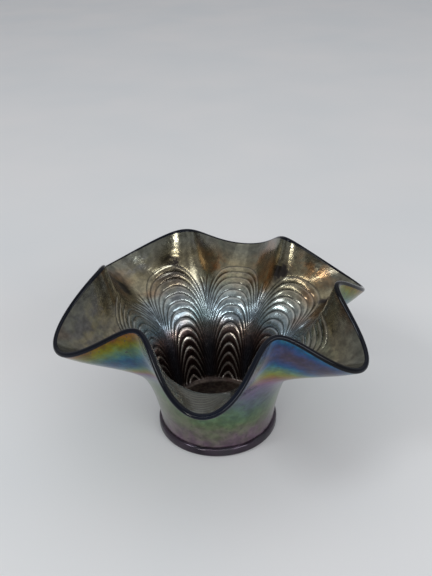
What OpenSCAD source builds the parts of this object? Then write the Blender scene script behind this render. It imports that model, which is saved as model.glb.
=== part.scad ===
// Ruffled glass bowl on a collar foot.
// One pressed and hand-shaped piece of glass, modelled as five regions, which meet face to face:
// foot ring, floor, cup wall, ruffled flare and fire-polished rim edge.
// The origin is the centre of the foot, on the surface that the bowl stands on. +Z is up.

/* [Foot] */
// How far the foot ring stands out from the wall above it
foot_step = 1.5; // [1:0.1:4]
// Height of the foot ring at its outside
foot_h = 5.5; // [5:0.25:7]
// Width of the foot ring, from its outside to the hollow under the floor
foot_w = 5.5; // [4:0.25:6.5]
// Radius of the foot ring's rounded edges, no more than foot_step is used
foot_edge_r = 1.5; // [0.8:0.1:2]

/* [Floor] */
// Depth of the hollow under the floor
hollow_h = 3; // [2:0.25:4]
// Thickness of the floor
floor_t = 4; // [3:0.25:5]
// Radius of the curve from the floor up into the wall
floor_fillet_r = 5; // [3:0.5:7]

/* [Wall] */
// Thickness of the glass in the wall, the flare and the rim
glass_t = 3.2; // [2.8:0.1:3.6]
// Radius of the cup, to the middle of the glass, where the wall becomes the flare
cup_r = 32.2; // [31:0.1:33]
// Height at which the wall becomes the flare
cup_h = 16; // [14:0.5:20]
// Outward lean of the wall at its top, in degrees from upright
wall_lean = 11; // [8:1:14]
// Outward lean of the wall at the foot, in degrees from upright
wall_foot_lean = 3; // [0:1:6]

/* [Flare] */
// Mean radius of the rim, to the middle of the glass
rim_r = 74.7; // [68:0.1:84]
// Mean height of the rim
rim_h = 81.5; // [74:0.5:90]
// Slope of the mean flare where it reaches the rim, in degrees above level
rim_slope = 58; // [50:1:64]
// How far the flare keeps the direction of the wall, as a share of its chord
flare_start = 0.64; // [0.5:0.02:0.7]
// How far the flare keeps the slope of the rim, as a share of its chord
flare_end = 0.48; // [0.4:0.02:0.6]

/* [Ruffles] */
// Number of ruffles round the rim
ruffles = 6; // [5:1:8]
// How far the lobes reach out, and the folds pull in, from the mean rim
ruffle_reach = 12; // [6:0.1:13]
// How far the lobes drop, and the folds rise, from the mean rim
ruffle_drop = 10.8; // [5:0.1:11]
// Turn of the lobes' furthest reach about the axis, in degrees from +X
reach_turn = 20; // [0:1:59]
// Turn of the folds' highest rise about the axis, in degrees from +X
rise_turn = 51; // [30:1:89]
// How fast the reach grows towards the rim, as a power
reach_growth = 2.2; // [2:0.1:3]
// How fast the drop grows towards the rim, as a power
drop_growth = 4.2; // [3:0.1:5]

/* [Hand shaping] */
// How far the ruffles are moved round the rim from an even spacing, at most, in degrees
spacing_drift = 5; // [0:0.5:6]
// Turn about the axis at which they are moved furthest, in degrees from +X
drift_turn = 280; // [0:5:355]
// How far the mouth is off the foot's centre
mouth_shift = 0.8; // [0:0.1:3]
// Turn towards which the mouth is off centre, in degrees from +X
shift_turn = 0; // [0:5:355]
// How far the rim rises above its mean on its high side
rim_tilt = 1; // [0:0.1:2]
// Turn of the rim's high side, in degrees from +X
tilt_turn = 190; // [0:5:355]

/* [Hidden] */
$fn = 96;

// Resolution of the flare and the rim edge
turns_n = 144;
rings_n = 18;
edge_n = 6;
arc_n = 8;

half_t = glass_t / 2;
floor_top = hollow_h + floor_t;

// Outer side of the cup wall: an arc whose lean grows from wall_foot_lean to wall_lean
wall_arc_r = (cup_h - foot_h) / (sin(wall_lean) - sin(wall_foot_lean));
crease_r = cup_r + half_t - wall_arc_r * (cos(wall_foot_lean) - cos(wall_lean));

// The foot ring stands out from the crease below the wall
foot_r = crease_r + foot_step;
foot_in_r = foot_r - foot_w;
edge_r = min(foot_edge_r, foot_step);

// Inner side of the cup wall: a fillet off the floor, then a straight lean up to the flare
fillet_top = floor_top + floor_fillet_r * (1 - sin(wall_lean));
fillet_top_r = cup_r - half_t - (cup_h - fillet_top) * tan(wall_lean);
floor_r = fillet_top_r - floor_fillet_r * cos(wall_lean);

// Points on an arc about [r, z], from one angle to another
function arc_points(centre, radius, from, to) = [
    for (i = [0 : arc_n])
        let (a = from + (to - from) * i / arc_n)
        centre + radius * [cos(a), sin(a)]
];

// Where a turn about the axis would be on evenly spaced ruffles, and how fast that changes
function even_turn(turn) = turn - spacing_drift * cos(turn - drift_turn);
function even_rate(turn) = 1 + spacing_drift * PI / 180 * sin(turn - drift_turn);

// How far the rim stands off its mean, out and up, at a turn about the axis
function rim_out(turn) = ruffle_reach * cos(ruffles * (even_turn(turn) - reach_turn))
    + mouth_shift * cos(turn - shift_turn);
function rim_up(turn) = ruffle_drop * cos(ruffles * (even_turn(turn) - rise_turn))
    + rim_tilt * cos(turn - tilt_turn);

// How fast each of those changes, per radian of turn
function rim_out_slope(turn) =
    -ruffles * ruffle_reach * even_rate(turn) * sin(ruffles * (even_turn(turn) - reach_turn))
    - mouth_shift * sin(turn - shift_turn);
function rim_up_slope(turn) =
    -ruffles * ruffle_drop * even_rate(turn) * sin(ruffles * (even_turn(turn) - rise_turn))
    - rim_tilt * sin(turn - tilt_turn);

// Mean flare, to the middle of the glass: one cubic curve from the wall to the mean rim, as [r, z]
flare_from = [cup_r, cup_h];
flare_to = [rim_r, rim_h];
flare_chord = norm(flare_to - flare_from);
flare_a = flare_from + flare_start * flare_chord * [sin(wall_lean), cos(wall_lean)];
flare_b = flare_to - flare_end * flare_chord * [cos(rim_slope), sin(rim_slope)];
function flare_point(s) = flare_from * pow(1 - s, 3) + 3 * flare_a * s * pow(1 - s, 2)
    + 3 * flare_b * s * s * (1 - s) + flare_to * pow(s, 3);
function flare_slope(s) = 3 * (flare_a - flare_from) * pow(1 - s, 2)
    + 6 * (flare_b - flare_a) * s * (1 - s) + 3 * (flare_to - flare_b) * s * s;

// Middle of the glass at a turn and a share s of the way from the wall to the rim, as [r, z],
// and its slopes along the flare and round it
function glass_point(turn, s) = flare_point(s)
    + [rim_out(turn) * pow(s, reach_growth), rim_up(turn) * pow(s, drop_growth)];
function along_slope(turn, s) = flare_slope(s)
    + [
        rim_out(turn) * reach_growth * pow(s, reach_growth - 1),
        rim_up(turn) * drop_growth * pow(s, drop_growth - 1)
    ];
function round_slope(turn, s) = [
    rim_out_slope(turn) * pow(s, reach_growth),
    rim_up_slope(turn) * pow(s, drop_growth)
];

// The same as places and directions in space
function out_axis(turn) = [cos(turn), sin(turn), 0];
function round_axis(turn) = [-sin(turn), cos(turn), 0];
function in_space(turn, p) = p[0] * out_axis(turn) + [0, 0, p[1]];
function unit(v) = v / norm(v);

// Direction out of the glass's outer side. It is level at the seam with the cup wall, so that the
// seam is flat, and square to the glass from the fourth ring on.
function square_out(turn, s) = unit(cross(
    in_space(turn, round_slope(turn, s)) + glass_point(turn, s)[0] * round_axis(turn),
    in_space(turn, along_slope(turn, s))
));
function side_out(turn, s) =
    let (share = min(1, s * rings_n / 4))
    unit(share * square_out(turn, s) + (1 - share) * out_axis(turn));
function glass_side(turn, s, side) =
    in_space(turn, glass_point(turn, s)) + side * half_t * side_out(turn, s);

// Direction in which the rim edge points: square to the rim and along the glass
function rim_along(turn) = unit(
    in_space(turn, round_slope(turn, 1)) + glass_point(turn, 1)[0] * round_axis(turn)
);
function rim_tip(turn) = cross(side_out(turn, 1), rim_along(turn));

// One side of the flare as a grid of points, ring by ring
function flare_grid(side) = [
    for (j = [0 : rings_n])
        for (i = [0 : turns_n - 1])
            glass_side(i * 360 / turns_n, j / rings_n, side)
];

// Triangles between two closed rings of points that start at indices a and b
function ring_band(a, b) = [
    for (i = [0 : turns_n - 1])
        let (k = (i + 1) % turns_n)
        each [[a + i, a + k, b + k], [a + i, b + k, b + i]]
];

module foot_ring() {
    color([0.16, 0.14, 0.18])
        rotate_extrude()
            polygon(concat(
                [[foot_in_r, hollow_h], [foot_in_r, 0]],
                arc_points([foot_r - edge_r, edge_r], edge_r, -90, 0),
                arc_points([foot_r - edge_r, foot_h - edge_r], edge_r, 0, 90),
                [[crease_r, foot_h], [crease_r, hollow_h]]
            ));
}

module cup_floor() {
    color([0.20, 0.17, 0.15])
        translate([0, 0, hollow_h])
            cylinder(h = floor_t, r = floor_r);
}

module cup_wall() {
    wall_centre = [crease_r + wall_arc_r * cos(wall_foot_lean), foot_h - wall_arc_r * sin(wall_foot_lean)];
    color([0.45, 0.52, 0.48])
        rotate_extrude()
            polygon(concat(
                [[floor_r, hollow_h], [crease_r, hollow_h]],
                arc_points(wall_centre, wall_arc_r, 180 - wall_foot_lean, 180 - wall_lean),
                [[cup_r - half_t, cup_h]],
                arc_points(
                    [floor_r, floor_top + floor_fillet_r], floor_fillet_r, -wall_lean, -90
                )
            ));
}

module ruffled_flare() {
    inner = (rings_n + 1) * turns_n;
    color([0.38, 0.42, 0.50])
        polyhedron(
            points = concat(flare_grid(1), flare_grid(-1)),
            faces = [
                for (j = [0 : rings_n - 1])
                    each concat(
                        ring_band((j + 1) * turns_n, j * turns_n),
                        ring_band(inner + j * turns_n, inner + (j + 1) * turns_n)
                    ),
                each ring_band(0, inner),
                each ring_band(inner + rings_n * turns_n, rings_n * turns_n)
            ],
            convexity = 10
        );
}

module rim_edge() {
    color([0.06, 0.08, 0.18])
        polyhedron(
            points = [
                for (j = [0 : edge_n])
                    for (i = [0 : turns_n - 1])
                        let (turn = i * 360 / turns_n, a = 180 * j / edge_n)
                        j == 0 ? glass_side(turn, 1, 1) :
                        j == edge_n ? glass_side(turn, 1, -1) :
                        in_space(turn, glass_point(turn, 1))
                            + half_t * (cos(a) * side_out(turn, 1) + sin(a) * rim_tip(turn))
            ],
            faces = [
                for (j = [0 : edge_n - 1])
                    each ring_band((j + 1) * turns_n, j * turns_n),
                each ring_band(0, edge_n * turns_n)
            ],
            convexity = 10
        );
}

foot_ring();
cup_floor();
cup_wall();
ruffled_flare();
rim_edge();
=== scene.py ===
"""The looks of a ruffled bowl of dark pressed glass with a metallic lustre, built round its CAD frame.

The bowl is one moulding. The five pieces made here are five regions of its glass, cut out of two
continuous surfaces, inside and outside, so they meet with no gap and no break in the shading.
Lengths are in millimetres up to the point where a mesh is made, and turns about the axis in radians.
"""

import math

import bpy
import numpy as np
from mathutils import Matrix, Vector


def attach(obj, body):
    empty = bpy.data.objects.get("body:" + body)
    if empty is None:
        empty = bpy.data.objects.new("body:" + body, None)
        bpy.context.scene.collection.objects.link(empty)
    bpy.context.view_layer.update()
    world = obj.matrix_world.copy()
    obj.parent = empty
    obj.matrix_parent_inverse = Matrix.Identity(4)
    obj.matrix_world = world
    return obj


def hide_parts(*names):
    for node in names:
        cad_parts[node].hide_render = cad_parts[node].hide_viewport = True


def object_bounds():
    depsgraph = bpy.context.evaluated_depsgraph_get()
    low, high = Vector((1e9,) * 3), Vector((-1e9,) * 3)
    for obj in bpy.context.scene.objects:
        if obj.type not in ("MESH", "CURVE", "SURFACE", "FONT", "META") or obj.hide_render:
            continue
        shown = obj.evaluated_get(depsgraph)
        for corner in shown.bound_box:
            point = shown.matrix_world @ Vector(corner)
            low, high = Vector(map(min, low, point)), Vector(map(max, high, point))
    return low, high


MM = 0.001

# The bowl's dimensions, as in the CAD source
HOLLOW_H = 3.0
FLOOR_T = 4.0
FOOT_STEP = 1.5
FOOT_H = 5.5
FOOT_W = 5.5
FOOT_EDGE_R = 1.5
FILLET_R = 5.0
GLASS_T = 3.2
CUP_R = 32.2
CUP_H = 16.0
WALL_LEAN = math.radians(11)
WALL_FOOT_LEAN = math.radians(3)
RIM_R = 74.7
RIM_H = 81.5
RIM_SLOPE = math.radians(58)
FLARE_START = 0.64
FLARE_END = 0.48
RUFFLES = 6
RUFFLE_REACH = 12.0
RUFFLE_DROP = 10.8
REACH_TURN = math.radians(20)
RISE_TURN = math.radians(51)
REACH_GROWTH = 2.2
DROP_GROWTH = 4.2
SPACING_DRIFT = math.radians(5)
DRIFT_TURN = math.radians(280)
MOUTH_SHIFT = 0.8
SHIFT_TURN = math.radians(0)
RIM_TILT = 1.0
TILT_TURN = math.radians(190)
# The outer side turns square to the glass over this share of the flare above the seam
SEAM_SHARE = 4 / 18

HALF_T = GLASS_T / 2
FLOOR_TOP = HOLLOW_H + FLOOR_T
WALL_ARC_R = (CUP_H - FOOT_H) / (math.sin(WALL_LEAN) - math.sin(WALL_FOOT_LEAN))
CREASE_R = CUP_R + HALF_T - WALL_ARC_R * (math.cos(WALL_FOOT_LEAN) - math.cos(WALL_LEAN))
FOOT_R = CREASE_R + FOOT_STEP
FOOT_IN_R = FOOT_R - FOOT_W
FILLET_TOP = FLOOR_TOP + FILLET_R * (1 - math.sin(WALL_LEAN))
FILLET_TOP_R = CUP_R - HALF_T - (CUP_H - FILLET_TOP) * math.tan(WALL_LEAN)
FLOOR_R = FILLET_TOP_R - FILLET_R * math.cos(WALL_LEAN)

# Points round every ring, and rings up each stretch of the two surfaces
TURNS_N = 960
FLOOR_N = 14
FILLET_N = 18
WALL_N = 10
FLARE_IN_N = 150
FLARE_OUT_N = 32
WALL_OUT_N = 10
RIM_N = 14
EDGE_N = 8
# Rings below the seam between the cup and the flare, inside and outside
SEAM_IN = FLOOR_N + FILLET_N + WALL_N
SEAM_OUT = WALL_OUT_N
# Radius of the floor's first ring, as a share of the step between its rings
FIRST_RING = 0.06
# Bevel at the foot's inner bottom edge
FOOT_BEVEL = 0.3
# The rim's smooth round stays this much under the CAD rim's flats, from this share of the flare up
RIM_TRIM = 0.15
TRIM_STARTS = 0.9

# An arc, here and below, is a length up the inside from the middle of the floor, or up the outside
# from the crease over the foot. A pair of them is where a change starts and where it is complete.

# The moulded fans inside: eight, each a nest of arches whose legs run down between the fans. Evenly
# spaced, one fan's middle would be at the turn. The skew brings the fans closer together on one
# side. Both are in degrees.
FANS = 8
FAN_TURN = 75.5
FAN_SKEW = 3.4
# How far an arch's leg is below its top at the fan's edge, the power of its drop towards the edge,
# low in the bowl and high in it, and the arcs between those
ARCH_DROP = 29.4
LOW_POWER = 1.75
HIGH_POWER = 2.5
HIGH_ARCS = (44, 72)
# Only high in the bowl, and only at the fan's very edge, the leg drops this much further
EDGE_DROP = 8.0
EDGE_POWER = 18
# Arch n has its top at the arc FIRST_ARCH + ARCH_GAP * n - ARCH_CLOSING * n ** 2, up to the last one
FIRST_ARCH = 33.4
ARCH_GAP = 6.5
ARCH_CLOSING = 0.09
LAST_ARCH = 13
# Gap between the arches above the last one, of which only the legs show
LEG_GAP = 12.0
# On the front lobe the arches carry on up to the rim, this far apart
FRONT_GAP = 4.5
FRONT_ARCHES = 9.0
# The front lobe: from none of it to all of it, by how far a turn points towards -Y, and the arcs
# over which its looks change
FRONT_SIDES = (0.80, 0.92)
FRONT_ARCS = (70, 80)
# The pattern starts over these arcs. It stops past the last arch, over these shares of a rib, but
# only near the rim, so that between the fans the legs go on up to an arc, where they fade.
PATTERN_STARTS = (27.5, 31)
TOP_FADE = (-0.05, 0.12)
PLAIN_BETWEEN_FANS = 96.0
BETWEEN_FADE = 12

# The ribs: their height, their greatest height as a share of the gap between them, and the gaps
# over which they appear
RIB_H = 0.48
RIB_SLENDER = 0.21
RIB_LEAST_GAP = (0.25, 0.6)
# A wide rib is flat with tight shoulders, and a narrow one is rounder
WIDE_RIB_FLATNESS = 4.0
NARROW_RIB_FLATNESS = 1.8
WIDE_RIB_GAPS = (1.5, 5.0)
# Each rib's upper shoulder, where a highlight is painted, as shares of its width, and where it ends on the
# way from a fan's middle to its edge
CREST_RISE = (0.60, 0.84)
CREST_FALL = (0.88, 1.0)
CREST_OFF = (0.35, 0.75)
# What the rib mark is where there are no ribs
PLAIN_RIB = 0.6
# The ribs die out over the last of the flare, so that the rim is plain
RIBS_END = (0.985, 1.0)

# Patches of the lustre inside: the turn, in degrees, and the arc of the middle, how far each reaches
# in both, and its strength
# Dark stains in the lustre; the three broad patches on the flanks, at -4, -28 and 183 degrees, are painted
# shade
STAINS_AND_SHADE = (
    (115, 97, 10, 7, 0.9), (112, 105, 6, 4, 1.7), (47, 101, 5, 7, 1.7), (20, 104, 5, 10, 1.7),
    (143, 104, 4, 8, 1.7), (-4, 104, 22, 18, 0.85), (-28, 98, 16, 22, 0.6), (183, 104, 18, 18, 0.4),
)
BRONZE_PATCHES = (
    (55, 99, 4, 10, 1.6), (90, 100, 6, 8, 1.0), (34, 110, 7, 7, 0.85), (64, 108, 5, 5, 0.85),
    (2, 108, 8, 8, 0.5),
)
STEEL_PATCHES = (
    (186, 106, 14, 12, 0.6), (128, 112, 6, 6, 0.6), (98, 114, 5, 4, 0.6), (118, 84, 8, 8, 0.6),
)

# The film outside, in orders of interference. It is thinnest on a line under the rim, which is at
# this arc, and lower by the drop on the bowl's uneven sides.
THIN_ARC = 82
THIN_ARC_DROP = 11
THIN_FILM = 1.06
UNEVEN_FILM = 0.19
# Above that line distances count for less, and near it the change is gentle
ABOVE_SHARE = 0.7
THIN_LINE_REACH = 4
# Away from the line the film thickens steadily, by a step near it, and again close to the foot
FILM_SLOPE = 0.0145
FILM_STEP = 0.54
FILM_STEP_REACH = 9.5
FILM_STEP_POWER = 1.5
FOOT_FILM_ARC = 19
FOOT_FILM_SLOPE = 0.011
# On the uneven sides it thickens faster, by these shares below and above the line, over this reach
STEEPER_BELOW = 0.8
STEEPER_ABOVE = 0.08
STEEPER_REACH = 30
# A film over this thickness goes on growing at this share of the pace
THICK_FILM = 2.66
THICK_PACE = 0.35
# Half of the most that the unevenness comes to, and the phase of its two sides
UNEVENNESS = 0.53
UNEVEN_PHASE = math.radians(120)
# On the uneven sides the outside is darkened above these arcs, a painted shade
SIDE_SHADE_ARCS = (48, 66)

# Points crowd together round each ring where the fans' legs meet, by this share. Their turns are
# found in this many passes.
LEG_CROWDING = 0.62
TURN_PASSES = 12


def smoothstep(low, high, x):
    """0 below low and 1 above high, with a smooth rise between."""
    t = np.clip((x - low) / (high - low), 0, 1)
    return t * t * (3 - 2 * t)


def unit(v):
    return v / np.linalg.norm(v, axis=-1, keepdims=True)


# ---- The glass, as the CAD source shapes it ----

def even_turn(turn):
    """Where a turn would be on evenly spaced ruffles."""
    return turn - SPACING_DRIFT * np.cos(turn - DRIFT_TURN)


def even_rate(turn):
    """How fast even_turn changes."""
    return 1 + SPACING_DRIFT * np.sin(turn - DRIFT_TURN)


def rim_out(turn):
    """How far the rim stands out from its mean."""
    even = RUFFLE_REACH * np.cos(RUFFLES * (even_turn(turn) - REACH_TURN))
    return even + MOUTH_SHIFT * np.cos(turn - SHIFT_TURN)


def rim_up(turn):
    """How far the rim stands above its mean."""
    even = RUFFLE_DROP * np.cos(RUFFLES * (even_turn(turn) - RISE_TURN))
    return even + RIM_TILT * np.cos(turn - TILT_TURN)


def rim_out_slope(turn):
    """How fast rim_out changes, per radian."""
    even = -RUFFLES * RUFFLE_REACH * even_rate(turn) * np.sin(RUFFLES * (even_turn(turn) - REACH_TURN))
    return even - MOUTH_SHIFT * np.sin(turn - SHIFT_TURN)


def rim_up_slope(turn):
    """How fast rim_up changes, per radian."""
    even = -RUFFLES * RUFFLE_DROP * even_rate(turn) * np.sin(RUFFLES * (even_turn(turn) - RISE_TURN))
    return even - RIM_TILT * np.sin(turn - TILT_TURN)


def flare_curve():
    """The mean flare's four control points, as (r, z)."""
    start = np.array([CUP_R, CUP_H])
    end = np.array([RIM_R, RIM_H])
    chord = np.linalg.norm(end - start)
    a = start + FLARE_START * chord * np.array([math.sin(WALL_LEAN), math.cos(WALL_LEAN)])
    b = end - FLARE_END * chord * np.array([math.cos(RIM_SLOPE), math.sin(RIM_SLOPE)])
    return start, a, b, end


def in_space(turn, r, z):
    """Places, or directions, given as out from the axis and up."""
    r, z = np.broadcast_arrays(r, z)
    return np.stack([r * np.cos(turn), r * np.sin(turn), z], -1)


def glass_frame(turn, s):
    """The middle of the flare's glass, the direction out of its outer side and the direction round it,
    over shares s by turns."""
    start, a, b, end = flare_curve()
    s = np.asarray(s, float)[:, None]
    t = 1 - s
    r, z = (
        start[i] * t ** 3 + 3 * a[i] * s * t ** 2 + 3 * b[i] * s * s * t + end[i] * s ** 3
        for i in (0, 1)
    )
    slope_r, slope_z = (
        3 * (a - start)[i] * t ** 2 + 6 * (b - a)[i] * s * t + 3 * (end - b)[i] * s * s
        for i in (0, 1)
    )
    r = r + rim_out(turn) * s ** REACH_GROWTH
    z = z + rim_up(turn) * s ** DROP_GROWTH
    slope_r = slope_r + rim_out(turn) * REACH_GROWTH * s ** (REACH_GROWTH - 1)
    slope_z = slope_z + rim_up(turn) * DROP_GROWTH * s ** (DROP_GROWTH - 1)
    out_slope = rim_out_slope(turn) * s ** REACH_GROWTH
    up_slope = rim_up_slope(turn) * s ** DROP_GROWTH
    around = in_space(turn, out_slope, up_slope) + in_space(turn + math.pi / 2, r, 0 * r)
    square = unit(np.cross(around, in_space(turn, slope_r, slope_z)))
    share = np.clip(s / SEAM_SHARE, 0, 1)[..., None]
    out = unit(share * square + (1 - share) * in_space(turn, 1 + 0 * r, 0 * r))
    return in_space(turn, r, z), out, unit(around)


def half_glass(s):
    """Half the glass's thickness, which the trim takes down over the last of the flare."""
    return HALF_T - RIM_TRIM * smoothstep(TRIM_STARTS, 1.0, np.asarray(s, float))[:, None, None]


# ---- The moulded fans ----

def arch_number(arch, front):
    """Which arch a height in the fan is at, counting from the lowest, with fractions between arches.
    Above the last one they are wide apart, but not on the front lobe, where front is 1."""
    last = FIRST_ARCH + ARCH_GAP * LAST_ARCH - ARCH_CLOSING * LAST_ARCH ** 2
    inside = np.minimum(arch, last) - FIRST_ARCH
    number = (ARCH_GAP - np.sqrt(ARCH_GAP ** 2 - 4 * ARCH_CLOSING * inside)) / (2 * ARCH_CLOSING)
    return number + np.maximum(arch - last, 0) * ((1 - front) / LEG_GAP + front / FRONT_GAP)


def spread_turns():
    """Turns of the points round every ring, closest together where two fans' legs meet. They follow
    the fans' skew, so turn = straight + skew * cos(turn), which the passes solve."""
    even = np.arange(TURNS_N) * 2 * math.pi / TURNS_N
    meeting = math.radians(FAN_TURN + 180 / FANS)
    straight = even - LEG_CROWDING * np.sin(FANS * (even - meeting)) / FANS
    turn = straight
    for _ in range(TURN_PASSES):
        turn = straight + math.radians(FAN_SKEW) * np.cos(turn)
    return turn


def front_lobe(turn):
    """1 on the lobe at the front, 0 elsewhere."""
    return smoothstep(*FRONT_SIDES, -np.sin(turn))


def fans(turn, arc):
    """For points at turns and arcs up the inside: the arch number, how far off the fan's middle line
    the point is, from 0 to 1, and how much of the pattern there is."""
    degrees = np.degrees(turn)
    across = (degrees - FAN_SKEW * np.cos(turn) - FAN_TURN) * FANS / 360
    off = np.clip(2 * np.abs(across - np.round(across)), 0, 1)
    high = smoothstep(*HIGH_ARCS, arc)
    power = LOW_POWER + (HIGH_POWER - LOW_POWER) * high
    arch = arc + ARCH_DROP * off ** power + EDGE_DROP * high * off ** EDGE_POWER
    front = front_lobe(turn)
    number = arch_number(arch, front)
    top = LAST_ARCH + FRONT_ARCHES * front
    over_top = smoothstep(top + TOP_FADE[0], top + TOP_FADE[1], number)
    between = smoothstep(PLAIN_BETWEEN_FANS - BETWEEN_FADE, PLAIN_BETWEEN_FANS, arc)
    pattern = (1 - over_top * between) * smoothstep(*PATTERN_STARTS, arc)
    return number, off, pattern


def relief(turn, arc, radius):
    """Height of the ribs over the inside, and the marks that the materials read: the rib itself, how
    near its leg a point is, and its crest, where a highlight is painted."""
    number, off, pattern = fans(turn, arc)
    up = np.gradient(number, axis=0) / np.maximum(np.gradient(arc, axis=0), 1e-6)
    step = (np.roll(turn, -1) - np.roll(turn, 1)) % (2 * math.pi)
    around = (np.roll(number, -1, 1) - np.roll(number, 1, 1)) / (step * radius)
    gap = 1 / np.maximum(np.hypot(up, around), 1e-6)
    place = number - np.floor(number)
    wide = smoothstep(*WIDE_RIB_GAPS, gap) * (1 - front_lobe(turn))
    flatness = NARROW_RIB_FLATNESS + (WIDE_RIB_FLATNESS - NARROW_RIB_FLATNESS) * wide
    rib = 1 - np.abs(2 * place - 1) ** flatness
    height = np.minimum(RIB_H, RIB_SLENDER * gap) * smoothstep(*RIB_LEAST_GAP, gap) * pattern
    crest = smoothstep(*CREST_RISE, place) * (1 - smoothstep(*CREST_FALL, place))
    crest = crest * (1 - smoothstep(*CREST_OFF, off)) * pattern
    return height * rib, rib * pattern + (1 - pattern) * PLAIN_RIB, off * pattern, crest


def patches(turn, arc, spots):
    """How much of a soft patch there is, from 0 to 1, over all the spots given."""
    most = np.zeros_like(arc)
    for at, arc_at, reach, arc_reach, strength in spots:
        away = (np.degrees(turn) - at + 180) % 360 - 180
        spot = strength * np.exp(-(away / reach) ** 2 - ((arc - arc_at) / arc_reach) ** 2)
        most = np.maximum(most, spot)
    return most


# ---- The two surfaces, ring by ring ----

def profile_rings(turn, points, lean):
    """Rings of a round profile: points as (r, z), and the direction into the bowl or out of the wall."""
    points, lean = np.asarray(points, float), np.asarray(lean, float)
    place = in_space(turn, points[:, :1] + 0 * turn, points[:, 1:] + 0 * turn)
    return place, in_space(turn, lean[:, :1] + 0 * turn, lean[:, 1:] + 0 * turn)


def inside_profile():
    """The floor, the fillet and the straight of the wall, up to the seam but without it."""
    points = [(FLOOR_R * (i + FIRST_RING) / FLOOR_N, FLOOR_TOP) for i in range(FLOOR_N)]
    facing = [(0, 1)] * FLOOR_N
    for i in range(FILLET_N):
        a = (math.pi / 2 - WALL_LEAN) * i / FILLET_N
        points.append((FLOOR_R + FILLET_R * math.sin(a), FLOOR_TOP + FILLET_R * (1 - math.cos(a))))
        facing.append((-math.sin(a), math.cos(a)))
    for i in range(WALL_N):
        t = i / WALL_N
        points.append((
            FILLET_TOP_R + (CUP_R - HALF_T - FILLET_TOP_R) * t,
            FILLET_TOP + (CUP_H - FILLET_TOP) * t,
        ))
        lean = WALL_LEAN * (1 - t)
        facing.append((-math.cos(lean), math.sin(lean)))
    return points, facing


def outside_profile():
    """The outer side of the cup wall, from the crease over the foot up to the seam but without it."""
    centre_r = CREASE_R + WALL_ARC_R * math.cos(WALL_FOOT_LEAN)
    centre_z = FOOT_H - WALL_ARC_R * math.sin(WALL_FOOT_LEAN)
    points, facing = [], []
    for i in range(WALL_OUT_N):
        a = math.pi - (WALL_FOOT_LEAN + (WALL_LEAN - WALL_FOOT_LEAN) * i / WALL_OUT_N)
        points.append((centre_r + WALL_ARC_R * math.cos(a), centre_z + WALL_ARC_R * math.sin(a)))
        facing.append((-math.cos(a), -math.sin(a)))
    return points, facing


def arcs_up(place):
    """Length along each meridian from its first ring."""
    steps = np.linalg.norm(np.diff(place, axis=0), axis=-1)
    return np.vstack([np.zeros((1, place.shape[1])), np.cumsum(steps, 0)])


def grid_normals(place, facing):
    """Normals of a grid of rings, on the side that facing is on."""
    up = np.gradient(place, axis=0)
    around = np.roll(place, -1, 1) - np.roll(place, 1, 1)
    n = unit(np.cross(around, up))
    return n * np.sign(np.sum(n * facing, -1, keepdims=True))


def inside_surface(turn):
    """Places, normals and marks of the inside, from the middle of the floor to the rim."""
    s = np.linspace(0, 1, FLARE_IN_N + 1)
    low, low_facing = profile_rings(turn, *inside_profile())
    middle, out, _ = glass_frame(turn, s)
    place = np.concatenate([low, middle - half_glass(s) * out])
    facing = np.concatenate([low_facing, -out])
    arc = arcs_up(place) + np.hypot(place[0, 0, 0], place[0, 0, 1])
    radius = np.hypot(place[..., 0], place[..., 1])
    height, rib, stem, crest = relief(turn, arc, radius)
    share = np.concatenate([np.zeros(len(low)), s])[:, None]
    height = height * (1 - smoothstep(*RIBS_END, share))
    place = place + height[..., None] * facing
    marks = {
        "arc": arc, "rib": rib, "stem": stem, "crest": crest,
        "front": front_lobe(turn) * smoothstep(*FRONT_ARCS, arc),
        "stain": patches(turn, arc, STAINS_AND_SHADE), "bronze": patches(turn, arc, BRONZE_PATCHES),
        "steel": patches(turn, arc, STEEL_PATCHES),
    }
    return place, grid_normals(place, facing), marks


def outside_surface(turn):
    """Places, normals and marks of the outside, from the crease over the foot to the rim."""
    s = np.linspace(0, 1, FLARE_OUT_N + 1)
    low, low_facing = profile_rings(turn, *outside_profile())
    middle, out, _ = glass_frame(turn, s)
    place = np.concatenate([low, middle + half_glass(s) * out])
    facing = np.concatenate([low_facing, out])
    arc = arcs_up(place)
    marks = {
        "arc": arc, "film": film_outside(turn, arc),
        "dull": film_unevenness(turn) * smoothstep(*SIDE_SHADE_ARCS, arc),
    }
    return place, grid_normals(place, facing), marks


def film_unevenness(turn):
    """0 on two opposite sides of the bowl, and about 1 between them."""
    return UNEVENNESS * (1 - np.cos(2 * turn + UNEVEN_PHASE))


def film_outside(turn, arc):
    """Thickness of the lustre film outside, in whole orders of interference: thin on a lobe's face
    under the rim, thicker down to the foot, and uneven from one lobe to the next."""
    uneven = film_unevenness(turn)
    below = THIN_ARC - THIN_ARC_DROP * uneven - arc
    off = np.where(below > 0, below, ABOVE_SHARE * below)
    off = np.sqrt(off ** 2 + THIN_LINE_REACH ** 2) - THIN_LINE_REACH
    step = FILM_STEP * (1 - np.exp(-(off / FILM_STEP_REACH) ** FILM_STEP_POWER))
    thicker = FILM_SLOPE * off + step + FOOT_FILM_SLOPE * np.maximum(FOOT_FILM_ARC - arc, 0)
    steeper = np.where(below > 0, STEEPER_BELOW, STEEPER_ABOVE) * uneven * np.exp(-off / STEEPER_REACH)
    film = THIN_FILM + UNEVEN_FILM * uneven + thicker * (1 + steeper)
    return np.minimum(film, THICK_FILM + THICK_PACE * (film - THICK_FILM))


# ---- Meshes ----

def ring_faces(rings, closed):
    """Quads between rings of TURNS_N points, and from the last ring back to the first if closed."""
    i = np.arange(TURNS_N)
    k = (i + 1) % TURNS_N
    bands = rings if closed else rings - 1
    low = (np.arange(bands) * TURNS_N)[:, None]
    high = ((np.arange(bands) + 1) % rings * TURNS_N)[:, None]
    return np.stack([low + i, low + k, high + k, high + i], -1).reshape(-1, 4)


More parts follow.
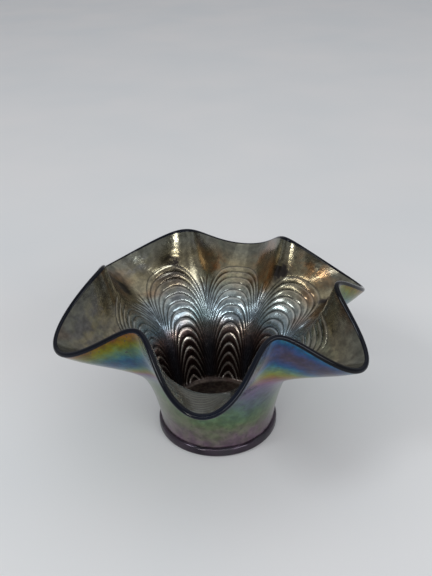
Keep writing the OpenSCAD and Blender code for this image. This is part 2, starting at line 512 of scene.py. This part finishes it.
def ring_piece(name, place, normals, marks, material, closed=True):
    """A closed mesh from rings of points, in metres, with its normals and its marks for the materials.
    Rings that don't close on themselves are capped at both ends."""
    faces = ring_faces(len(place), closed)
    points = place.reshape(-1, 3) * MM
    a, b, c = (points[faces[:, i]] for i in (0, 1, 2))
    if np.sum(np.cross(a, b) * c) < 0:
        faces = faces[:, ::-1]
    faces = faces.tolist()
    if not closed:
        ends = [list(range(TURNS_N)), list(range(len(points) - TURNS_N, len(points)))]
        faces += [ends[0][::-1], ends[1]]
    mesh = bpy.data.meshes.new(name)
    mesh.from_pydata(points.tolist(), [], faces)
    for key, values in marks.items():
        attribute = mesh.attributes.new(key, "FLOAT", "POINT")
        attribute.data.foreach_set("value", np.asarray(values, np.float32).ravel())
    mesh.shade_smooth()
    mesh.normals_split_custom_set_from_vertices(normals.reshape(-1, 3).tolist())
    mesh.materials.append(material)
    piece = bpy.data.objects.new(name, mesh)
    bpy.context.scene.collection.objects.link(piece)
    return piece


def both_sides(inner, outer):
    """Rings up one surface and back down the other, with the marks of both and which side each is on."""
    place = np.concatenate([inner[0], outer[0][::-1]])
    normals = np.concatenate([inner[1], outer[1][::-1]])
    names = sorted(set(inner[2]) | set(outer[2]))
    marks = {}
    for key in names:
        a = inner[2].get(key, np.zeros(inner[0].shape[:2]))
        b = outer[2].get(key, np.zeros(outer[0].shape[:2]))
        marks[key] = np.concatenate([a, b[::-1]])
    marks["outside"] = np.concatenate([np.zeros(inner[0].shape[:2]), np.ones(outer[0].shape[:2])])
    return place, normals, marks


def part_of(surface, first, last):
    """The rings of a surface from first up to last, which isn't in it."""
    place, normals, marks = surface
    marks = {key: values[first:last] for key, values in marks.items()}
    return place[first:last], normals[first:last], marks


def with_underside(marks):
    """Marks with two rings more for the underside, which looks like the floor inside."""
    under = {"arc": FLOOR_R / 2, "rib": PLAIN_RIB}
    return {
        key: np.concatenate([values, np.full((2, TURNS_N), under.get(key, 0.0))])
        for key, values in marks.items()
    }


def rings_of(turn, points, facing):
    """Places and normals of a round profile's rings."""
    place, normals = profile_rings(turn, points, facing)
    return place, unit(normals)


def foot_rings(turn):
    """The collar foot's outline, with rounded outer edges."""
    r = min(FOOT_EDGE_R, FOOT_STEP)
    points = [(CREASE_R, HOLLOW_H), (FOOT_IN_R, HOLLOW_H), (FOOT_IN_R, HOLLOW_H), (FOOT_IN_R, FOOT_BEVEL)]
    facing = [(0, 1), (0, 1), (-1, 0), (-1, 0)]
    points += [(FOOT_IN_R + FOOT_BEVEL, 0.0), (FOOT_R - r, 0.0)]
    facing += [(0, -1), (0, -1)]
    for z, start in ((r, -90), (FOOT_H - r, 0)):
        for i in range(1, EDGE_N + 1):
            a = math.radians(start + 90 * i / EDGE_N)
            points.append((FOOT_R - r + r * math.cos(a), z + r * math.sin(a)))
            facing.append((math.cos(a), math.sin(a)))
    points.append((CREASE_R, FOOT_H))
    facing.append((0, 1))
    return rings_of(turn, points, facing)


def rim_rings(turn):
    """The half round of the rim, from the inside over the tip to the outside."""
    middle, out, around = glass_frame(turn, [1.0])
    tip = np.cross(out[0], around[0])
    radius = HALF_T - RIM_TRIM
    place, normals = [], []
    for i in range(RIM_N + 1):
        a = math.pi * i / RIM_N
        n = -math.cos(a) * out[0] + math.sin(a) * tip
        place.append(middle[0] + radius * n)
        normals.append(n)
    return np.array(place), np.array(normals)


# ---- Materials ----

# Colours up the inside, by share of this arc: dark floor and wall, darkened partly as painted shade deep in
# the bowl, then silver-blue, bronze and grey
TONES_ARC = 120.0
INSIDE_TONES = (
    (0.00, (0.035, 0.026, 0.022)), (0.25, (0.030, 0.018, 0.016)), (0.33, (0.05, 0.022, 0.020)),
    (0.42, (0.050, 0.024, 0.023)), (0.50, (0.20, 0.135, 0.12)), (0.57, (0.27, 0.35, 0.40)),
    (0.68, (0.30, 0.34, 0.33)), (0.77, (0.29, 0.265, 0.185)), (0.87, (0.27, 0.235, 0.145)),
    (0.97, (0.19, 0.19, 0.15)),
)
# Colours laid over those, for the legs between the fans, tints, patches, painted shade on the front lobe and
# painted highlights on the crests
LEG_BLUE = (0.15, 0.20, 0.27, 1)
RUST = (0.24, 0.11, 0.045, 1)
MOSS = (0.10, 0.18, 0.12, 1)
PATCH_TONES = (
    ("bronze", (0.36, 0.19, 0.075, 1)), ("steel", (0.20, 0.21, 0.24, 1)), ("stain", (0.035, 0.028, 0.024, 1)),
)
# Painted shade for the front lobe's inside, and how much of it is laid on
FRONT_SHADE = (0.075, 0.086, 0.068, 1)
FRONT_SHADE_SHARE = 0.82
# Painted highlight on the front lobe's ribs
FRONT_RIB_HIGHLIGHT = (0.23, 0.25, 0.20, 1)
FLOOR_BROWN = (0.075, 0.058, 0.045, 1)
CREST_HIGHLIGHT = (0.62, 0.57, 0.50, 1)
PIT = (0.05, 0.05, 0.06, 1)
# How many times each colour's wave turns in one order of the film, for red, green and blue
FILM_PACES = (0.87, 1.0, 1.19)


def add_node(tree, kind, **settings):
    node = tree.nodes.new(kind)
    for name, value in settings.items():
        setattr(node, name, value)
    return node


def feed(tree, socket, value):
    """Links a socket or sets a plain value."""
    if isinstance(value, bpy.types.NodeSocket):
        tree.links.new(value, socket)
    else:
        socket.default_value = value


def maths(tree, operation, a, b=0.0, c=0.0):
    node = add_node(tree, "ShaderNodeMath", operation=operation)
    for socket, value in zip(node.inputs, (a, b, c)):
        feed(tree, socket, value)
    return node.outputs[0]


def times(tree, a, b):
    return maths(tree, "MULTIPLY", a, b)


def mark(tree, name):
    """What a mark on the mesh's points is."""
    return add_node(tree, "ShaderNodeAttribute", attribute_name=name).outputs["Fac"]


def noise(tree, scale, detail=3.0, roughness=0.5, stretch=(1, 1, 1)):
    """Noise over the piece, in metres: scale is waves per metre."""
    where = add_node(tree, "ShaderNodeTexCoord").outputs["Object"]
    mapping = add_node(tree, "ShaderNodeMapping")
    mapping.inputs["Scale"].default_value = stretch
    tree.links.new(where, mapping.inputs["Vector"])
    node = add_node(tree, "ShaderNodeTexNoise", noise_dimensions="3D")
    tree.links.new(mapping.outputs[0], node.inputs["Vector"])
    node.inputs["Scale"].default_value = scale
    node.inputs["Detail"].default_value = detail
    node.inputs["Roughness"].default_value = roughness
    return node.outputs["Fac"]


def remap(tree, value, low, high, to_low=0.0, to_high=1.0):
    node = add_node(tree, "ShaderNodeMapRange", interpolation_type="SMOOTHSTEP")
    for name, number in (("From Min", low), ("From Max", high), ("To Min", to_low), ("To Max", to_high)):
        node.inputs[name].default_value = number
    tree.links.new(value, node.inputs["Value"])
    return node.outputs["Result"]


def blend(tree, share, a, b, way="MIX"):
    node = add_node(tree, "ShaderNodeMix", data_type="RGBA", blend_type=way)
    feed(tree, node.inputs[0], share)
    feed(tree, node.inputs[6], a)
    feed(tree, node.inputs[7], b)
    return node.outputs[2]


def ramp(tree, value, stops):
    """A colour ramp through (place, colour) stops."""
    node = add_node(tree, "ShaderNodeValToRGB")
    elements = node.color_ramp.elements
    while len(elements) < len(stops):
        elements.new(0.5)
    for element, (place, colour) in zip(elements, stops):
        element.position = place
        element.color = (*colour, 1)
    feed(tree, node.inputs[0], value)
    return node.outputs["Color"]


def film_colour(tree, film, base):
    """Colours of a thin film by its thickness in orders: three cosines, one for each of red, green
    and blue, whose waves are about 620, 540 and 455 nm long. They are deepest between 1.3 and 1.8
    orders, and fade in a thicker film."""
    thin = remap(tree, film, 1.0, 1.35, 0.42, 1.0)
    depth = times(tree, remap(tree, film, 1.85, 2.20, 0.135, 0.050), thin)
    bands = []
    for pace in FILM_PACES:
        angle = times(tree, film, 2 * math.pi * pace)
        swing = times(tree, maths(tree, "COSINE", angle), depth)
        bands.append(maths(tree, "SUBTRACT", base, swing))
    node = add_node(tree, "ShaderNodeCombineColor")
    for socket, value in zip(node.inputs, bands):
        feed(tree, socket, value)
    return node.outputs[0]


def new_material(name, metal, roughness):
    material = bpy.data.materials.new(name)
    material.use_nodes = True
    tree = material.node_tree
    shader = tree.nodes["Principled BSDF"]
    shader.inputs["Metallic"].default_value = metal
    shader.inputs["Roughness"].default_value = roughness
    return material, tree, shader


def add_bump(tree, shader, height, distance):
    bump = add_node(tree, "ShaderNodeBump")
    bump.inputs["Strength"].default_value = 1.0
    bump.inputs["Distance"].default_value = distance
    tree.links.new(height, bump.inputs["Height"])
    tree.links.new(bump.outputs[0], shader.inputs["Normal"])


def specks(tree, scale, low, high):
    """1 on clean lustre, towards 0 on the small pits and specks in it."""
    return remap(tree, noise(tree, scale, 2.0, 0.6), low, high)


def inside_tones(tree, arc):
    """The inside's colours up the arc, dark low down partly as painted shade, with rust and moss tints high
    up.
    """
    drift = maths(tree, "MULTIPLY_ADD", noise(tree, 28, 3.0), 16.0, -8.0)
    height = maths(tree, "DIVIDE", maths(tree, "ADD", arc, drift), TONES_ARC)
    colour = ramp(tree, height, INSIDE_TONES)
    legs = remap(tree, mark(tree, "stem"), 0.55, 0.98, 0.0, 0.35)
    colour = blend(tree, legs, colour, LEG_BLUE)
    high = remap(tree, arc, 45, 80, 0.1, 1.0)
    rust = remap(tree, noise(tree, 40, 2.0), 0.52, 0.70, 0.0, 0.6)
    colour = blend(tree, times(tree, rust, high), colour, RUST)
    moss = remap(tree, noise(tree, 33, 2.0, stretch=(1, 1.3, 0.8)), 0.55, 0.75, 0.0, 0.45)
    return blend(tree, times(tree, moss, high), colour, MOSS)


def with_patches(tree, arc, colour):
    """Ragged patches of other lustre and stains, partly painted shade, painted shade greying the front lobe,
    and the mottled floor.
    """
    ragged = remap(tree, noise(tree, 130, 3.0, 0.6), 0.36, 0.60)
    # The dark stain tone among these is partly painted shade on the flanks
    for name, tone in PATCH_TONES:
        colour = blend(tree, times(tree, mark(tree, name), ragged), colour, tone)
    # Painted shade: the front lobe's inside greyed and darkened
    colour = blend(tree, times(tree, mark(tree, "front"), FRONT_SHADE_SHARE), colour, FRONT_SHADE)
    mottle = remap(tree, noise(tree, 420, 3.0, 0.6), 0.40, 0.60)
    return blend(tree, times(tree, mottle, remap(tree, arc, 34, 24)), colour, FLOOR_BROWN)


def with_ribs(tree, arc, colour):
    """Painted shade in the grooves between the ribs, cloudy lustre, and painted highlights on the crests and
    on the front lobe's ribs.
    """
    front = mark(tree, "front")
    # Painted shade: the grooves between the ribs darkened, less so on the front lobe
    groove_shade = remap(tree, mark(tree, "rib"), 0.0, 0.75, 0.14, 1.0)
    front_groove_shade = remap(tree, mark(tree, "rib"), 0.0, 0.9, 0.3, 1.0)
    colour = blend(tree, 1.0, colour, blend(tree, front, groove_shade, front_groove_shade), "MULTIPLY")
    cloudy = remap(tree, noise(tree, 280, 4.0, 0.65), 0.34, 0.66, 0.70, 1.15)
    colour = blend(tree, 1.0, colour, cloudy, "MULTIPLY")
    # Painted highlight: the ribs' upper shoulders lightened, most of all low in the bowl
    crest_highlight = times(tree, mark(tree, "crest"), remap(tree, arc, 56, 66, 0.85, 0.15))
    colour = blend(tree, crest_highlight, colour, CREST_HIGHLIGHT)
    # Painted highlight: the front lobe's ribs lightened
    front_rib_highlight = times(tree, front, remap(tree, mark(tree, "rib"), 0.60, 0.98, 0.0, 0.4))
    return blend(tree, front_rib_highlight, colour, FRONT_RIB_HIGHLIGHT)


def inside_colour(tree):
    """The inside's plain tones, with the patches laid over them and then the ribs."""
    arc = mark(tree, "arc")
    return with_ribs(tree, arc, with_patches(tree, arc, inside_tones(tree, arc)))


def outside_colour(tree):
    """The film's bands, with drifting thickness, painted shade on the uneven sides, cloudy patches and small
    pits.
    """
    wander = maths(tree, "MULTIPLY_ADD", noise(tree, 24, 3.0), 0.4, -0.2)
    fine = maths(tree, "MULTIPLY_ADD", noise(tree, 160, 3.0, 0.6), 0.30, -0.15)
    film = maths(tree, "ADD", maths(tree, "ADD", mark(tree, "film"), wander), fine)
    colour = film_colour(tree, film, remap(tree, film, 1.6, 2.2, 0.115, 0.145))
    # Painted shade: the outside darkened on the uneven sides, high up
    dull = remap(tree, mark(tree, "dull"), 0.0, 1.0, 1.0, 0.66)
    colour = blend(tree, 1.0, colour, dull, "MULTIPLY")
    cloudy = remap(tree, noise(tree, 210, 4.0, 0.65), 0.34, 0.66, 0.68, 1.16)
    colour = blend(tree, 1.0, colour, cloudy, "MULTIPLY")
    clean = times(tree, specks(tree, 800, 0.30, 0.36), specks(tree, 380, 0.24, 0.29))
    return blend(tree, clean, PIT, colour)


def lustre_glass():
    """The satin lustre on both sides: silver-blue and bronze inside, banded colours outside."""
    material, tree, shader = new_material("lustre_glass", 0.88, 0.3)
    shader.inputs["Coat Weight"].default_value = 0.25
    shader.inputs["Coat Roughness"].default_value = 0.12
    side = maths(tree, "GREATER_THAN", mark(tree, "outside"), 0.5)
    colour = blend(tree, side, inside_colour(tree), outside_colour(tree))
    feed(tree, shader.inputs["Base Color"], colour)
    rough = maths(tree, "MULTIPLY_ADD", noise(tree, 210, 3.0), 0.18, 0.10)
    deep = times(tree, remap(tree, mark(tree, "arc"), 22, 32, 0.3, 0.0), maths(tree, "SUBTRACT", 1.0, side))
    feed(tree, shader.inputs["Roughness"], maths(tree, "ADD", rough, deep))
    wrinkle = maths(tree, "ADD", noise(tree, 420, 3.0, 0.6), times(tree, noise(tree, 90, 2.0), 2.0))
    add_bump(tree, shader, wrinkle, 0.00012)
    return material


def foot_glass():
    """Glossy dark glass under a thin purple-grey lustre."""
    material, tree, shader = new_material("foot_glass", 0.7, 0.2)
    tone = noise(tree, 60, 3.0)
    colour = ramp(tree, tone, (
        (0.30, (0.028, 0.024, 0.032)), (0.52, (0.060, 0.046, 0.062)), (0.72, (0.040, 0.046, 0.050)),
    ))
    feed(tree, shader.inputs["Base Color"], colour)
    feed(tree, shader.inputs["Roughness"], maths(tree, "MULTIPLY_ADD", noise(tree, 300, 3.0), 0.14, 0.04))
    add_bump(tree, shader, noise(tree, 240, 3.0), 0.0001)
    return material


def rim_glass():
    """Fire-polished dark cobalt glass, bare of lustre on the edge."""
    material, tree, shader = new_material("rim_glass", 0.0, 0.06)
    tone = noise(tree, 22, 2.0)
    colour = ramp(tree, tone, ((0.35, (0.0005, 0.0005, 0.001)), (0.65, (0.0005, 0.0025, 0.009))))
    feed(tree, shader.inputs["Base Color"], colour)
    shader.inputs["Specular IOR Level"].default_value = 0.2
    feed(tree, shader.inputs["Roughness"], maths(tree, "MULTIPLY_ADD", noise(tree, 150, 2.0), 0.08, 0.02))
    add_bump(tree, shader, noise(tree, 120, 2.0), 0.0001)
    return material


def floor_material():
    """A pale matt floor, very slightly mottled."""
    material, tree, shader = new_material("pale_floor", 0.0, 0.85)
    colour = ramp(tree, noise(tree, 6, 2.0), ((0.3, (0.79, 0.81, 0.82)), (0.7, (0.84, 0.84, 0.84))))
    feed(tree, shader.inputs["Base Color"], colour)
    return material


# ---- Pieces ----

def underside(turn, outer_r, inner_r):
    """Two rings on the roof of the hollow under the floor."""
    return rings_of(turn, [(outer_r, HOLLOW_H), (inner_r, HOLLOW_H)], [(0, -1), (0, -1)])


def make_flare(inside, outside, material):
    place, normals, marks = both_sides(part_of(inside, SEAM_IN, None), part_of(outside, SEAM_OUT, None))
    flare = ring_piece("flare", place, normals, marks, material)
    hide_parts("ruffled_flare")
    return flare


def make_wall(turn, inside, outside, material):
    place, normals, marks = both_sides(
        part_of(inside, FLOOR_N, SEAM_IN + 1), part_of(outside, 0, SEAM_OUT + 1)
    )
    under, under_normals = underside(turn, CREASE_R, FLOOR_R)
    wall = ring_piece(
        "cup", np.concatenate([place, under]), np.concatenate([normals, under_normals]),
        with_underside(marks), material,
    )
    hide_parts("cup_wall")
    return wall


def make_base(turn, inside, material):
    top, top_normals, marks = part_of(inside, 0, FLOOR_N + 1)
    under, under_normals = underside(turn, FLOOR_R, top[0, 0, 0])
    base = ring_piece(
        "floor_of_cup", np.concatenate([top, under]), np.concatenate([top_normals, under_normals]),
        with_underside(marks), material, closed=False,
    )
    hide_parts("cup_floor")
    return base


def make_collar(turn):
    collar = ring_piece("collar_foot", *foot_rings(turn), {}, foot_glass())
    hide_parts("foot_ring")
    return collar


def make_rim(turn):
    rim = ring_piece("polished_rim", *rim_rings(turn), {}, rim_glass())
    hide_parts("rim_edge")
    return rim


def make_bowl():
    turn = spread_turns()
    inside = inside_surface(turn)
    outside = outside_surface(turn)
    lustre = lustre_glass()
    flare = make_flare(inside, outside, lustre)
    wall = make_wall(turn, inside, outside, lustre)
    base = make_base(turn, inside, lustre)
    collar = make_collar(turn)
    rim = make_rim(turn)
    for piece in (flare, wall, base, collar, rim):
        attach(piece, "root")


# ---- Stage ----

# Half the side of the floor that the bowl stands on, in metres, like all lengths in this section
FLOOR_SIDE = 6.0
# The place that every light points at
LIT_PLACE = (0, 0, 0.05)
# Name, place, size, watts and colour of each light
LIGHTS = (
    ("window", (-0.72, -1.28, 0.09), (0.26, 0.12), 3.2, (1.0, 0.97, 0.90)),
    ("sky", (-0.95, -0.52, 1.10), (0.34, 0.34), 3.6, (0.92, 0.97, 1.0)),
    ("room", (0.85, -1.0, 0.75), (0.6, 0.6), 4.0, (0.95, 0.97, 1.0)),
    ("strip", (0.0, -1.30, 0.80), (1.5, 0.05), 4.0, (1.0, 0.98, 0.94)),
    ("ceiling", (0.2, 0.3, 1.6), (1.6, 1.6), 3.0, (1.0, 0.99, 0.97)),
)
WORLD_COLOUR = (0.95, 0.96, 1.0, 1)
WORLD_STRENGTH = 0.46
# The camera's place, how far it looks down and rolls, and its lens in millimetres
CAMERA_PLACE = (0.0007, -0.3455, 0.2818)
CAMERA_PITCH = math.radians(29.4)
CAMERA_ROLL = math.radians(-1.38)
CAMERA_LENS = 46.875


def make_floor(low):
    side = FLOOR_SIDE
    corners = [(-side, -side, low.z), (side, -side, low.z), (side, side, low.z), (-side, side, low.z)]
    mesh = bpy.data.meshes.new("floor")
    mesh.from_pydata(corners, [], [(0, 1, 2, 3)])
    mesh.materials.append(floor_material())
    floor = bpy.data.objects.new("floor", mesh)
    bpy.context.scene.collection.objects.link(floor)


def area_light(name, place, size, watts, colour):
    light = bpy.data.lights.new(name, "AREA")
    light.shape = "RECTANGLE"
    light.size, light.size_y = size
    light.energy = watts
    light.color = colour
    lamp = bpy.data.objects.new(name, light)
    lamp.location = place
    lamp.rotation_euler = (Vector(LIT_PLACE) - Vector(place)).to_track_quat("-Z", "Y").to_euler()
    bpy.context.scene.collection.objects.link(lamp)


def make_lights():
    for light in LIGHTS:
        area_light(*light)
    world = bpy.data.worlds.new("studio")
    world.use_nodes = True
    background = world.node_tree.nodes["Background"]
    background.inputs["Color"].default_value = WORLD_COLOUR
    background.inputs["Strength"].default_value = WORLD_STRENGTH
    bpy.context.scene.world = world
    bpy.context.scene.view_settings.view_transform = "Standard"


def make_camera():
    """From in front and 29 degrees above, tilted a little."""
    pitch, roll = CAMERA_PITCH, CAMERA_ROLL
    right = Vector((1, 0, 0))
    up = Vector((0, math.sin(pitch), math.cos(pitch)))
    back = Vector((0, -math.cos(pitch), math.sin(pitch)))
    turned_right = right * math.cos(roll) + up * math.sin(roll)
    turned_up = up * math.cos(roll) - right * math.sin(roll)
    camera = bpy.data.objects.new("camera", bpy.data.cameras.new("camera"))
    camera.data.lens = CAMERA_LENS
    camera.data.clip_start = 0.01
    axes = Matrix((turned_right, turned_up, back)).transposed()
    camera.matrix_world = Matrix.Translation(Vector(CAMERA_PLACE)) @ axes.to_4x4()
    bpy.context.scene.collection.objects.link(camera)
    bpy.context.scene.camera = camera


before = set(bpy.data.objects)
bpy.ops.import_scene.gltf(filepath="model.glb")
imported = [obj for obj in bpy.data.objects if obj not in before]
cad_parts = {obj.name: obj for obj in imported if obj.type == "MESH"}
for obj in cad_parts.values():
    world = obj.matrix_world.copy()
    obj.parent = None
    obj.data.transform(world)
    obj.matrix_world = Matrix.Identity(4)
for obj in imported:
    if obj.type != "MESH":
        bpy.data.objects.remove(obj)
cad_low, cad_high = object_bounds()
make_bowl()
make_floor(cad_low)
make_lights()
make_camera()
